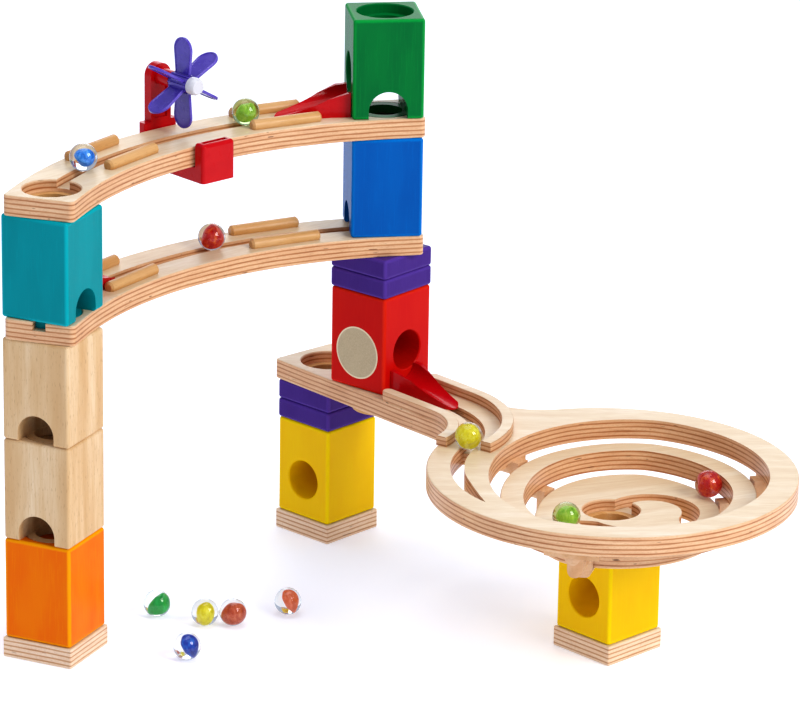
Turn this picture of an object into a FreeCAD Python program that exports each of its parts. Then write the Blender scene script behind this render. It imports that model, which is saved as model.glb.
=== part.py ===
import FreeCAD, Part
import math
import os

os.makedirs("parts", exist_ok=True)
V = FreeCAD.Vector
UP = V(0, 0, 1)

# A wooden marble run: three towers of blocks, two curved grooved rails, a spiral plate and a paddle wheel.
# Origin: centre of the left tower's base plate, on the floor. +X right, +Y to the back, +Z up. Millimetres.

# ---------------------------------------------------------------- driving dimensions
marble_dia = 16.0          # glass marble
ply = 12.0                 # plywood sheet: rails, spiral plates, base plates and spacers
block_side = 42.0          # square blocks
block_height = 60.0
base_side = 44.0
spacer_side = 42.8
block_arris = 1.8          # rounded edges of the blocks
ply_arris = 0.8            # eased edges of the plywood
corner_round = 3.0         # plan corners of rails and arm

socket_dia = 33.0          # round socket in the top of every stacking piece
block_socket_depth = 5.6
plate_socket_depth = 7.0
boss_gap = 0.3             # radial gap round a boss in its socket
boss_drop = 5.0            # a boss stands this far below its piece
collar_bore = 24.0         # hole through the glued-in collars
shaft_dia = 22.0           # drop shaft inside the blocks
side_hole_dia = 24.0
side_hole_rise = 24.0      # centre of a side hole above the block's bottom
tunnel_width = 23.0
tunnel_height = 16.5
hole_ease = 0.6            # small bevel at the mouths of holes

groove_width = 8.0         # the marble straddles this groove
groove_depth = 5.0
rail_width = 42.0
rail_radius = 247.7        # centre line of a rail
rail_turn = 60.0           # degrees of arc between the two towers
rail_azimuth = 42.65       # plan direction from the left tower to the middle one

guide_length = 44.5        # half-round sticks beside the groove
guide_radius = 3.5
guide_height = 5.5
guide_offset_front = 13.0
guide_offset_back = 15.0
guide_from_left = 70.0     # along the rail, from each tower to the nearer pair of guides
guide_from_right = 67.0

arm_azimuth = -48.0        # plan direction of the spiral plate's arm
arm_width = 46.0
arm_hole_pitch = 47.0      # between the two tower positions on the arm
arm_reach = 200.0          # red tower to the spiral's centre
arm_round_front = 34.5     # concave blends between arm and spiral
arm_round_back = 45.0
fence_width = 7.0
fence_height = 6.0

spiral_radius = 106.0
turn_gap = 7.0             # plan gap between one turn and the next
lip_radius = 89.5          # inner edge of the top turn
middle_width = 13.5        # radial width of the middle turn
dip = 20.5                 # how far the spiral edges come in at the throat
throat_azimuth = 166.0
slot_radius = 88.3         # centre line of the start slot in the top turn
slot_start = 156.2
slot_full_end = 196.0
slot_tip = 217.0

ramp_length = 46.0
ramp_width = 24.0
ramp_height = 14.5
ramp_floor = 7.0           # channel floor at the block
ramp_tip_width = 10.0
ramp_tip = 2.6             # height of the blunt tip

wheel_station = 30.0       # degrees along the upper rail
wheel_radius = 27.0
wheel_width = 15.0
wheel_height = 30.8        # axle above the upper rail's top
paddle_count = 6
paddle_thick = 1.8
axle_dia = 4.0
axle_gap = 0.08
clamp_length = 24.0
clamp_wall = 6.0
clamp_gap = 0.7

yaw_left = 65.166          # how far each tower is turned about its own axis
yaw_middle_low = 46.803
yaw_red = 49.914
yaw_upper = 8.078
yaw_right = 44.236

# ---------------------------------------------------------------- places
def polar(cx, cy, r, deg):
    return V(cx + r * math.cos(math.radians(deg)), cy + r * math.sin(math.radians(deg)), 0)

LEFT = V(0, 0, 0)
chord = 2 * rail_radius * math.sin(math.radians(rail_turn / 2))
MID = polar(0, 0, chord, rail_azimuth)
half_chord = polar(0, 0, chord / 2, rail_azimuth)
RAIL_C = half_chord + polar(0, 0, rail_radius * math.cos(math.radians(rail_turn / 2)), rail_azimuth - 90)
rail_start = rail_azimuth + 90 + rail_turn / 2      # azimuth of the left tower seen from the rail's centre
guide_stations = (math.degrees(guide_from_left / rail_radius),
                  rail_turn - math.degrees(guide_from_right / rail_radius))
ARM = polar(0, 0, 1, arm_azimuth)
SIDE = polar(0, 0, 1, arm_azimuth + 90)
LOW = MID - ARM * arm_hole_pitch
HUB = MID + ARM * arm_reach

base_top = ply
level_1 = base_top + block_height                   # top of the lowest blocks
disc_z = level_1
middle_z = disc_z + ply
plate_z = middle_z + ply
plate_top = plate_z + ply
lower_rail_z = base_top + 3 * block_height
lower_rail_top = lower_rail_z + ply
upper_rail_z = lower_rail_top + block_height
upper_rail_top = upper_rail_z + ply
red_z = plate_top
spacer_red_z = red_z + block_height
spacer_high = (lower_rail_z - spacer_red_z) / 2     # two spacers fill what is left under the lower rail
shaft_r = shaft_dia / 2
boss_r = socket_dia / 2 - boss_gap
marble_r = marble_dia / 2
ride = math.sqrt(marble_r ** 2 - (groove_width / 2) ** 2) + 0.05


def place(shape, at, z, yaw=0.0):
    s = shape.copy()
    s.rotate(V(0, 0, 0), UP, yaw)
    s.translate(V(at.x, at.y, z))
    return s


def rod(p, d, r, length):
    return Part.makeCylinder(r, length, p, d)


def prism(edges, height, z=0.0):
    # closed flat outline pulled straight up
    s = Part.Face(Part.Wire(edges)).extrude(V(0, 0, height))
    if s.Volume < 0:
        s.reverse()
    s.translate(V(0, 0, z))
    return s


def save(shape, name):
    s = shape.removeSplitter()
    if s.ShapeType != "Solid":
        s = s.Solids[0] if len(s.Solids) == 1 else s
    if s.Volume < 0:
        s = s.reversed()
    assert s.isValid() and len(s.Solids) == 1, name + " is not one valid solid"
    s.exportStep("parts/%s.step" % name)
    b = s.BoundBox
    print("%-22s vol %10.1f  z %.1f..%.1f" % (name, s.Volume, b.ZMin, b.ZMax))
    return s


def eased_mouth(z, r):
    # cone that bevels the top mouth of a vertical hole
    return Part.makeCone(r, r + hole_ease, hole_ease, V(0, 0, z - hole_ease), UP)


# ---------------------------------------------------------------- stacking blocks, built at the origin facing +X
def plain_block(side, height, arris):
    b = Part.makeBox(side, side, height, V(-side / 2, -side / 2, 0))
    return b.makeFillet(arris, b.Edges)


def tunnel(azimuth, length):
    # arch open at the bottom: straight sides, half-round top, from the centre outwards
    d = polar(0, 0, 1, azimuth)
    r = tunnel_width / 2
    spring = tunnel_height - r
    legs = Part.makeBox(length, tunnel_width, spring + 1.0, V(0, -r, -1.0))
    legs.rotate(V(0, 0, 0), UP, azimuth)
    vault = rod(V(0, 0, spring), d, r, length)
    end = Part.makeSphere(r, V(0, 0, spring))
    foot = Part.makeCylinder(r, spring, V(0, 0, 0))
    return legs.fuse([vault, end, foot])


def side_hole(azimuth, side):
    d = polar(0, 0, 1, azimuth)
    r = side_hole_dia / 2
    p = V(0, 0, side_hole_rise)
    hole = rod(p - d * shaft_r * 0.6, d, r, side / 2 + shaft_r)
    bevel = Part.makeCone(r, r + 2 * hole_ease, 2 * hole_ease, p + d * (side / 2 - hole_ease), d)
    return hole.fuse(bevel)


def block(tunnels=(), holes=(), through=True, inlay=None):
    b = plain_block(block_side, block_height, block_arris)
    b = b.fuse(Part.makeCylinder(boss_r, boss_drop + 2.0, V(0, 0, -boss_drop)))
    cuts = [Part.makeCylinder(socket_dia / 2, block_socket_depth, V(0, 0, block_height - block_socket_depth))]
    cuts.append(eased_mouth(block_height, socket_dia / 2))
    if through:
        cuts.append(Part.makeCylinder(shaft_r, block_height + boss_drop, V(0, 0, -boss_drop)))
    else:
        cuts.append(Part.makeCylinder(shaft_r, block_height - side_hole_rise, V(0, 0, side_hole_rise)))
        cuts.append(Part.makeCylinder(shaft_r, boss_drop, V(0, 0, -boss_drop)))
    for a in tunnels:
        cuts.append(tunnel(a, block_side))
    for a in holes:
        cuts.append(side_hole(a, block_side))
    if inlay is not None:
        cuts.append(inlay)
    b = b.cut(cuts)
    # the tunnels stop at the block's own bottom: the boss below them stays whole
    if tunnels:
        ring = Part.makeCylinder(boss_r, boss_drop, V(0, 0, -boss_drop))
        ring = ring.cut(Part.makeCylinder(shaft_r, boss_drop, V(0, 0, -boss_drop)))
        b = b.fuse(ring)
    return b


def spacer(height):
    b = plain_block(spacer_side, height, block_arris)
    b = b.fuse(Part.makeCylinder(boss_r, boss_drop + 2.0, V(0, 0, -boss_drop)))
    return b.cut([Part.makeCylinder(socket_dia / 2, block_socket_depth, V(0, 0, height - block_socket_depth)),
                  eased_mouth(height, socket_dia / 2),
                  Part.makeCylinder(shaft_r, height + boss_drop, V(0, 0, -boss_drop))])


def base_plate():
    b = plain_block(base_side, ply, ply_arris)
    return b.cut([Part.makeCylinder(socket_dia / 2, block_socket_depth, V(0, 0, ply - block_socket_depth)),
                  eased_mouth(ply, socket_dia / 2)])


def collar():
    # ring glued into a plate from below
    height = ply - plate_socket_depth + boss_drop
    r = Part.makeCylinder(boss_r, height, V(0, 0, -boss_drop))
    return r.cut(Part.makeCylinder(collar_bore / 2, height, V(0, 0, -boss_drop)))


def plate_hole():
    return Part.makeCylinder(socket_dia / 2, plate_socket_depth, V(0, 0, ply - plate_socket_depth)).fuse([
        Part.makeCylinder(boss_r, ply, V(0, 0, 0)), eased_mouth(ply, socket_dia / 2)])


inlay_thick = 3.0
inlay_dia = 32.0
inlay_rise = 22.5
inlay_d = polar(0, 0, 1, 180)
inlay_cut = rod(V(0, 0, inlay_rise) + inlay_d * (block_side / 2 - inlay_thick), inlay_d, inlay_dia / 2, inlay_thick + 1)
inlay_disc = rod(V(0, 0, inlay_rise) + inlay_d * (block_side / 2 - inlay_thick), inlay_d, inlay_dia / 2,
                 inlay_thick + 0.2)

save(place(base_plate(), LEFT, 0, yaw_left), "base_plate_left")
save(place(base_plate(), LOW, 0, yaw_middle_low), "base_plate_middle")
save(place(base_plate(), HUB, 0, yaw_right), "base_plate_right")
save(place(block(), LEFT, base_top, yaw_left), "orange_block")
save(place(block(tunnels=(180,)), LEFT, level_1, yaw_left), "natural_block_lower")
save(place(block(tunnels=(180,)), LEFT, level_1 + block_height, yaw_left), "natural_block_upper")
save(place(block(tunnels=(-90,), holes=(0,)), LEFT, lower_rail_top, yaw_left), "teal_block")
save(place(block(holes=(180,), through=False), LOW, base_top, yaw_middle_low), "yellow_block_middle")
save(place(block(holes=(180,), through=False), HUB, base_top, yaw_right), "yellow_block_right")
save(place(block(holes=(-90,), through=False, inlay=inlay_cut), MID, red_z, yaw_red), "red_block")
save(place(inlay_disc, MID, red_z, yaw_red), "sound_disc")
save(place(block(tunnels=(180,)), MID, lower_rail_top, yaw_upper), "blue_block")
save(place(block(tunnels=(-90, 90), holes=(180,), through=False), MID, upper_rail_top, yaw_upper), "green_block")
for i in range(2):
    save(place(spacer(ply), LOW, level_1 + i * ply, yaw_middle_low), "spacer_low_%d" % (i + 1))
    save(place(spacer(spacer_high), MID, spacer_red_z + i * spacer_high, yaw_red), "spacer_high_%d" % (i + 1))

# ---------------------------------------------------------------- curved rails
def rail_point(station, offset):
    return polar(RAIL_C.x, RAIL_C.y, rail_radius + offset, rail_start - station)


def rail_heading(station):
    return rail_start - station - 90


def arc_sector(centre, r0, r1, a0, a1, height, z):
    # flat ring sector between two azimuths
    p = [polar(centre.x, centre.y, r, a) for r in (r0, r1) for a in (a0, (a0 + a1) / 2, a1)]
    e = [Part.Arc(p[0], p[1], p[2]).toShape(), Part.makeLine(p[2], p[5]),
         Part.Arc(p[5], p[4], p[3]).toShape(), Part.makeLine(p[3], p[0])]
    return prism(e, height, z)


def strip_ends(station, sign):
    d = polar(0, 0, 1, rail_heading(station)) * (sign * rail_width / 2)
    return d


def flat_edges(s, z0, z1):
    return [e for e in s.Edges if e.BoundBox.ZLength < 1e-6 and
            (abs(e.BoundBox.ZMin - z0) < 1e-6 or abs(e.BoundBox.ZMin - z1) < 1e-6)]


def upright_edges(s):
    return [e for e in s.Edges if e.BoundBox.ZLength > ply - 0.01 and e.BoundBox.XLength + e.BoundBox.YLength < 1e-6]


def rail():
    w = rail_width / 2
    a, b = rail_point(0, w), rail_point(rail_turn, w)
    c, d = rail_point(rail_turn, -w), rail_point(0, -w)
    back, on = strip_ends(0, -1), strip_ends(rail_turn, 1)
    edges = [Part.makeLine(a + back, a), Part.Arc(a, rail_point(rail_turn / 2, w), b).toShape(),
             Part.makeLine(b, b + on), Part.makeLine(b + on, c + on), Part.makeLine(c + on, c),
             Part.Arc(c, rail_point(rail_turn / 2, -w), d).toShape(), Part.makeLine(d, d + back),
             Part.makeLine(d + back, a + back)]
    s = prism(edges, ply)
    ends = [rail_point(0, 0) + back, rail_point(rail_turn, 0) + on]
    corners = [e for e in upright_edges(s)
               if min((V(e.Vertexes[0].X, e.Vertexes[0].Y, 0) - p).Length for p in ends) < w + 1]
    s = s.makeFillet(corner_round, corners)
    s = s.makeFillet(ply_arris, flat_edges(s, 0, ply))
    r0, r1 = rail_radius - groove_width / 2, rail_radius + groove_width / 2
    groove = arc_sector(RAIL_C, r0, r1, rail_start, rail_start - rail_turn, groove_depth + 1, ply - groove_depth)
    return s.cut([groove, place(plate_hole(), LEFT, 0), place(plate_hole(), MID, 0)])


one_rail = rail()
# the lower rail's groove also runs out through its left end
run_out = Part.makeBox(2 * rail_width, groove_width, groove_depth + 1,
                       V(-2 * rail_width, -groove_width / 2, ply - groove_depth))
run_out = place(run_out, rail_point(0, 0), 0, rail_heading(0))
for name, z, piece in (("lower_rail", lower_rail_z, one_rail.cut(run_out)), ("upper_rail", upper_rail_z, one_rail)):
    save(place(piece, V(0, 0, 0), z), name)
    save(place(collar(), LEFT, z), name + "_collar_left")
    save(place(collar(), MID, z), name + "_collar_right")


def guide():
    # half-round stick with bevelled ends, lying along X on z = 0
    rise = guide_height - guide_radius
    s = rod(V(-guide_length / 2, 0, rise), V(1, 0, 0), guide_radius, guide_length)
    s = s.makeChamfer(1.2, [e for e in s.Edges if e.BoundBox.XLength < 1e-6])
    return s.cut(Part.makeBox(guide_length + 2, 4 * guide_radius, 10, V(-guide_length / 2 - 1, -2 * guide_radius, -10)))


for name, z in (("lower", lower_rail_top), ("upper", upper_rail_top)):
    for place_name, st in zip(("left", "right"), guide_stations):
        for side_name, off in (("back", guide_offset_back), ("front", -guide_offset_front)):
            save(place(guide(), rail_point(st, off), z, rail_heading(st)),
                 "guide_%s_%s_%s" % (name, place_name, side_name))

# ---------------------------------------------------------------- spiral: three plywood turns, each one sheet lower
def throat(deg):
    # 0 round most of the spiral, rising smoothly to 1 at the throat
    t = (deg - throat_azimuth + 180.0) % 360.0 - 180.0
    half = 96.0 if t < 0 else 78.0
    if abs(t) >= half:
        return 0.0
    return (0.5 + 0.5 * math.cos(math.pi * t / half)) ** 0.6


def spiral_edge(radius):
    # closed edge: a circle that comes in by the dip at the throat
    n = 60
    pts = []
    for i in range(n):
        deg = 360.0 * i / n
        pts.append(polar(HUB.x, HUB.y, radius - dip * throat(deg), deg))
    c = Part.BSplineCurve()
    c.interpolate(Points=pts, PeriodicFlag=True)
    return c.toShape()


def spiral_solid(radius, z, height):
    return prism([spiral_edge(radius)], height, z)


def arm_point(u, v):
    return MID + ARM * u + SIDE * v


def taper_slot(centre, radius, width, a0, a1, a2, z, height):
    # curved slot of even width from a0 to a1 that narrows to a point on its outer edge at a2
    ri, ro = radius - width / 2, radius + width / 2
    q0, q1 = polar(centre.x, centre.y, ri, a0), polar(centre.x, centre.y, ro, a0)
    m_in, e_in = polar(centre.x, centre.y, ri, (a0 + a1) / 2), polar(centre.x, centre.y, ri, a1)
    blend = polar(centre.x, centre.y, ri + width * 0.36, a1 + (a2 - a1) * 0.6)
    tip = polar(centre.x, centre.y, ro - width * 0.15, a2)
    m_out, e_out = polar(centre.x, centre.y, ro, (a0 + a1) / 2), polar(centre.x, centre.y, ro, a1)
    blend_o = polar(centre.x, centre.y, ro - width * 0.03, a1 + (a2 - a1) * 0.55)
    e = [Part.Arc(q0, m_in, e_in).toShape(), Part.Arc(e_in, blend, tip).toShape(),
         Part.Arc(tip, blend_o, e_out).toShape(), Part.Arc(e_out, m_out, q1).toShape(), Part.makeLine(q1, q0)]
    return prism(e, height, z)


# the marble's path on the arm: straight from the red tower, then an arc that meets the slot's circle
path_radius = 62.0
path_turn_u = arm_reach - math.sqrt((path_radius + slot_radius) ** 2 - path_radius ** 2)
PATH_C = arm_point(path_turn_u, -path_radius)


def azimuth_of(p, c):
    return math.degrees(math.atan2(p.y - c.y, p.x - c.x))


def spiral_plate():
    length = arm_hole_pitch + arm_width / 2 + arm_reach
    arm = Part.makeBox(length, arm_width, ply, V(-arm_hole_pitch - arm_width / 2, -arm_width / 2, 0))
    tail = [e for e in upright_edges(arm) if e.BoundBox.XMin < -arm_hole_pitch]
    arm = arm.makeFillet(corner_round, tail)
    s = place(arm, MID, 0, arm_azimuth).fuse(Part.makeCylinder(spiral_radius, ply, HUB)).removeSplitter()
    meet_u = arm_reach - math.sqrt(spiral_radius ** 2 - (arm_width / 2) ** 2)
    for v, r in ((-arm_width / 2, arm_round_front), (arm_width / 2, arm_round_back)):
        corner = arm_point(meet_u, v)
        near = [e for e in upright_edges(s) if (V(e.Vertexes[0].X, e.Vertexes[0].Y, 0) - corner).Length < 0.5]
        s = s.makeFillet(r, near)
    s = s.makeFillet(ply_arris, flat_edges(s, 0, ply))
    opening = spiral_solid(lip_radius, 0, ply)
    slot = taper_slot(HUB, slot_radius, groove_width, slot_start, slot_full_end, slot_tip, -1, ply + 2)
    top = ply - groove_depth
    half = groove_width / 2
    straight = Part.makeBox(path_turn_u - socket_dia / 3, groove_width, groove_depth + 1, V(socket_dia / 3, -half, top))
    straight = place(straight, MID, 0, arm_azimuth)
    bend = arc_sector(PATH_C, path_radius - half, path_radius + half, arm_azimuth + 90,
                      azimuth_of(HUB, PATH_C), groove_depth + 1, top)
    s = s.cut([opening, slot, straight, bend, place(plate_hole(), MID, 0), place(plate_hole(), LOW, 0)])
    s.translate(V(0, 0, plate_z))
    return s


save(spiral_plate(), "spiral_plate")
save(place(collar(), LOW, plate_z), "plate_collar_end")
save(place(collar(), MID, plate_z), "plate_collar_mid")

# fences: one sheet strip each, standing on the arm beside the marble's path
def fence(v, u0, u1, radius, sweep):
    # straight from u0 to u1 at side v, then a bend to the right of the travel through sweep degrees
    w = fence_width / 2
    c = arm_point(u1, v - radius)
    a0, a1 = arm_azimuth + 90, arm_azimuth + 90 - sweep
    pts = []
    for r in (radius + w, radius - w):
        pts.append([polar(c.x, c.y, r, a) for a in (a0, (a0 + a1) / 2, a1)])
    start = [arm_point(u0, v + w), arm_point(u0 - w, v), arm_point(u0, v - w)]
    e = [Part.makeLine(start[0], pts[0][0]), Part.Arc(*pts[0]).toShape(), Part.makeLine(pts[0][2], pts[1][2]),
         Part.Arc(pts[1][2], pts[1][1], pts[1][0]).toShape(), Part.makeLine(pts[1][0], start[2]),
         Part.Arc(start[2], start[1], start[0]).toShape()]
    s = prism(e, fence_height)
    # the arris runs along both sides and round the near end, and the far end is left square
    soft = [x for x in flat_edges(s, fence_height, fence_height) if abs(x.Length - fence_width) > 0.01]
    s = s.makeFillet(ply_arris, soft)
    s.translate(V(0, 0, plate_top))
    return s


fence_v = arm_width / 2 - fence_width / 2
front_radius = arm_round_front + fence_width / 2
save(fence(-fence_v, 30.0, arm_reach - math.sqrt((spiral_radius + arm_round_front) ** 2 -
     (arm_width / 2 + arm_round_front) ** 2), front_radius, 77.0), "fence_front")
save(fence(fence_v, 27.0, 64.0, 69.5, 78.0), "fence_back")

# middle turn and centre disc
middle = spiral_solid(lip_radius - turn_gap, middle_z, ply)
middle = middle.makeFillet(ply_arris, flat_edges(middle, middle_z, middle_z + ply))
middle = middle.cut(spiral_solid(lip_radius - turn_gap - middle_width, middle_z, ply))
save(middle, "spiral_middle")

disc_radius = lip_radius - 2 * turn_gap - middle_width
disc = spiral_solid(disc_radius, disc_z, ply)
disc = disc.makeFillet(ply_arris, flat_edges(disc, disc_z, disc_z + ply))
exit_radius = 21.8         # the question-mark slot that leads into the centre hole
exit_c = HUB + V(23.5, -1.0, 0)
exit_width = 10.4
hook = arc_sector(exit_c, exit_radius - exit_width / 2, exit_radius + exit_width / 2, 118, -2, ply + 2, disc_z - 1)
shelf = arc_sector(exit_c, exit_radius - exit_width / 2, exit_radius + exit_width / 2, 150, 117, plate_socket_depth + 1,
                   disc_z + ply - plate_socket_depth)
lead_c = exit_c - V(33.0 - exit_radius, 0, 0)
lead = taper_slot(lead_c, 33.0, exit_width, 0, -22, -44, disc_z - 1, ply + 2)
entry = taper_slot(lead_c, 33.0, exit_width, -118, -138, -152, disc_z - 1, ply + 2)
entry_2 = taper_slot(lead_c, 33.0, exit_width, -118, -96, -74, disc_z - 1, ply + 2)
for cutter in (place(plate_hole(), HUB, disc_z), hook, shelf, lead, entry, entry_2):
    disc = disc.cut(cutter)
save(disc, "centre_disc")
save(place(collar(), HUB, disc_z), "disc_collar")

# three stepped brackets that hold the turns at their levels
bar_width = 9.0
bar_gap = 0.5
bar_top = 9.0              # depth of the bar under the top turn
bar_middle = 7.0           # and under the middle turn
bar_disc = 2.5             # and under the disc
shoulder = 4.5             # thickness of the curved pad glued under the top turn
shoulder_sweep = 9.0       # degrees either side of the bar
bracket_azimuths = (-105.0, 15.0, 139.0)


def bar(r0, r1, z_top, height, azimuth):
    # radial bar with a rounded underside and a rounded outer end
    w = bar_width / 2
    s = Part.makeBox(r1 - r0, bar_width, height, V(r0, -w, -height))
    s = s.makeFillet(min(w, height) * 0.85, [e for e in s.Edges if e.BoundBox.ZMax < -height + 0.01 and e.BoundBox.XLength > 1])
    nose = rod(V(r1 - w * 1.2, 0, -height - 1), UP, w * 1.2, height + 2).fuse(
        Part.makeBox(r1 - w * 1.2 - r0 + 1, bar_width * 2, height + 2, V(r0 - 1, -bar_width, -height - 1)))
    s = s.common(nose)
    s.rotate(V(0, 0, 0), UP, azimuth)
    s.translate(V(HUB.x, HUB.y, z_top))
    return s


for i, az in enumerate(bracket_azimuths):
    t = dip * throat(az)
    r_mid = lip_radius - turn_gap - t + bar_gap + 1.2
    r_disc = disc_radius - t + bar_gap + 1.2
    s = bar(r_mid, r_mid + 15.0, plate_z, bar_top, az)
    s = s.fuse([bar(r_mid, r_mid + 8.0, plate_z, ply + bar_middle, az),
                bar(r_disc, r_mid + 8.0, middle_z, bar_middle, az),
                bar(r_disc, r_disc + 8.0, middle_z, ply + bar_disc, az),
                bar(r_disc - 14.0, r_disc + 8.0, disc_z, bar_disc, az),
                arc_sector(HUB, r_mid + 8.5, r_mid + 16.5, az + shoulder_sweep, az - shoulder_sweep, shoulder,
                           plate_z - shoulder)])
    save(s, "bracket_%d" % (i + 1))

# ---------------------------------------------------------------- ramps: wedge with a round channel
def ramp(start, azimuth, z, face_at, face_azimuth):
    # starts at the block's face and falls along the azimuth
    w, t = ramp_width / 2, ramp_tip_width / 2
    side_profile = Part.makePolygon([V(-14, 0, 0), V(ramp_length, 0, 0), V(ramp_length, 0, ramp_tip),
                                     V(4, 0, ramp_height), V(-14, 0, ramp_height), V(-14, 0, 0)])
    body = Part.Face(side_profile).extrude(V(0, ramp_width, 0))
    body.translate(V(0, -w, 0))
    waist = 15.0
    plan = [Part.makeLine(V(-14, -w, 0), V(2, -w, 0)), Part.makeLine(V(2, -w, 0), V(waist, -8.6, 0)),
            Part.makeLine(V(waist, -8.6, 0), V(ramp_length - t, -t, 0)),
            Part.Arc(V(ramp_length - t, -t, 0), V(ramp_length, 0, 0), V(ramp_length - t, t, 0)).toShape(),
            Part.makeLine(V(ramp_length - t, t, 0), V(waist, 8.6, 0)), Part.makeLine(V(waist, 8.6, 0), V(2, w, 0)),
            Part.makeLine(V(2, w, 0), V(-14, w, 0)), Part.makeLine(V(-14, w, 0), V(-14, -w, 0))]
    body = body.common(Part.Face(Part.Wire(plan)).extrude(V(0, 0, ramp_height + 1)))
    fall = (ramp_floor - 0.9) / ramp_length
    channel_r = marble_r + 0.8
    d = V(1, 0, -fall)
    d.normalize()
    p = V(0, 0, ramp_floor + channel_r)
    channel = rod(p - d * 20, d, channel_r, ramp_length + 50)
    body = body.cut(channel)
    body.rotate(V(0, 0, 0), UP, azimuth)
    body.translate(V(start.x, start.y, z))
    # trimmed to stand just clear of the block's face
    n = polar(0, 0, 1, face_azimuth)
    trim = Part.makeBox(80, 80, 80, V(-80, -40, -5))
    trim.rotate(V(0, 0, 0), UP, face_azimuth)
    q = face_at + n * (block_side / 2 + 0.3)
    trim.translate(V(q.x, q.y, z))
    return body.cut(trim)


half_block = math.degrees((block_side / 2 + 0.5) / rail_radius)
reach = half_block + math.degrees(ramp_length / rail_radius)


def heading_between(p, q):
    return math.degrees(math.atan2(q.y - p.y, q.x - p.x))


p0, p1 = rail_point(rail_turn - half_block, 0), rail_point(rail_turn - reach, 0)
save(ramp(p0, heading_between(p0, p1), upper_rail_top, MID, yaw_upper + 180), "ramp_upper")
p0, p1 = rail_point(half_block, 0), rail_point(reach, 0)
save(ramp(p0, heading_between(p0, p1), lower_rail_top, LEFT, yaw_left), "ramp_lower")
save(ramp(arm_point(block_side / 2 + 0.5, 0), arm_azimuth, plate_top, MID, yaw_red - 90), "ramp_spiral")

# ---------------------------------------------------------------- paddle wheel over the upper rail
# built with the rail's middle at the origin, +X along the rail, +Y to the rail's outer side, z = 0 at its top
def wheel_frame(s):
    return place(s, rail_point(wheel_station, 0), upper_rail_top, rail_heading(wheel_station))


wheel_off = 1.75
hub_r = 5.0
post_y = rail_width / 2 + clamp_gap
post_width = 14.8
post_top = wheel_height + post_width / 2
under = 8.5


def clamp():
    l = clamp_length
    floor = Part.makeBox(l, 2 * post_y + 2 * clamp_wall, under, V(-l / 2, -post_y - clamp_wall, -ply - under))
    front = Part.makeBox(l, clamp_wall + 2.5, ply + under + 2.5, V(-l / 2, -post_y - clamp_wall - 2.5, -ply - under))
    front = front.makeFillet(2.2, [e for e in front.Edges if e.BoundBox.ZLength > ply or e.BoundBox.ZMin > 2.4])
    pocket = Part.makeBox(l - 6, 3.2, 9.0, V(-l / 2 + 3, -post_y - clamp_wall + 0.4, -6.4))
    foot = Part.makeBox(l, clamp_wall, ply + under + 4.0, V(-l / 2, post_y, -ply - under))
    foot = foot.makeFillet(1.5, [e for e in foot.Edges if e.BoundBox.ZLength > ply])
    w = post_width / 2
    post = Part.makeBox(post_width, clamp_wall, wheel_height, V(-w, post_y, 0))
    head = rod(V(0, post_y, wheel_height), V(0, 1, 0), w, clamp_wall)
    stub = rod(V(0, wheel_off + wheel_width / 2 + 0.6, wheel_height), V(0, 1, 0), hub_r,
               post_y - wheel_off - wheel_width / 2 - 0.6 + 1)
    panel = Part.makeBox(post_width - 6, 1.2, wheel_height - 8, V(-w + 3, post_y - 0.2, 6))
    s = floor.fuse([front, foot, post, head]).cut([pocket, panel]).fuse(stub)
    return s.cut(rod(V(0, 0, wheel_height), V(0, 1, 0), axle_dia / 2, 60))


def paddle(k):
    # flat blade through the axis with a rounded tip
    w, r = wheel_width / 2, wheel_radius
    tip = w * 0.92
    outline = [Part.makeLine(V(0, -w * 0.8, 2.6), V(0, -w, r - tip)),
               Part.Arc(V(0, -w, r - tip), V(0, 0, r), V(0, w, r - tip)).toShape(),
               Part.makeLine(V(0, w, r - tip), V(0, w * 0.8, 2.6)), Part.makeLine(V(0, w * 0.8, 2.6), V(0, -w * 0.8, 2.6))]
    s = Part.Face(Part.Wire(outline)).extrude(V(paddle_thick, 0, 0))
    s.translate(V(-paddle_thick / 2, wheel_off, 0))
    s.rotate(V(0, 0, 0), V(0, 1, 0), 360.0 * k / paddle_count)
    s.translate(V(0, 0, wheel_height))
    return s


def wheel():
    s = rod(V(0, wheel_off - wheel_width / 2, wheel_height), V(0, 1, 0), hub_r, wheel_width)
    s = s.fuse([paddle(k) for k in range(paddle_count)])
    ribs = []
    for k in range(paddle_count):
        a = 360.0 * (k + 0.5) / paddle_count
        rib = rod(V(0, wheel_off - wheel_width / 2, wheel_height + hub_r), V(0, 1, 0), 1.1, wheel_width)
        rib.rotate(V(0, 0, wheel_height), V(0, 1, 0), a)
        ribs.append(rib)
    s = s.fuse(ribs)
    return s.cut(rod(V(0, -40, wheel_height), V(0, 1, 0), axle_dia / 2 + axle_gap, 80))


cap_r = 5.2
cap_back = wheel_off - wheel_width / 2 - 0.5


def cap():
    s = rod(V(0, cap_back - 2.2, wheel_height), V(0, 1, 0), cap_r, 2.2)
    dome = Part.makeSphere(cap_r, V(0, cap_back - 2.2, wheel_height))
    dome = dome.common(Part.makeBox(20, 3.4, 20, V(-10, cap_back - 2.2 - 3.4, wheel_height - 10)))
    s = s.fuse(dome)
    return s.cut(rod(V(0, cap_back - 2.0, wheel_height), V(0, 1, 0), axle_dia / 2, 10))


axle = rod(V(0, cap_back - 2.0, wheel_height), V(0, 1, 0), axle_dia / 2, post_y + clamp_wall - cap_back + 2.0)
save(wheel_frame(clamp()), "wheel_clamp")
save(wheel_frame(axle), "wheel_axle")
save(wheel_frame(wheel()), "paddle_wheel")
save(wheel_frame(cap()), "wheel_cap")

# ---------------------------------------------------------------- marbles
def marble(p, z, name):
    save(Part.makeSphere(marble_r, V(p.x, p.y, z)), name)


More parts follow.
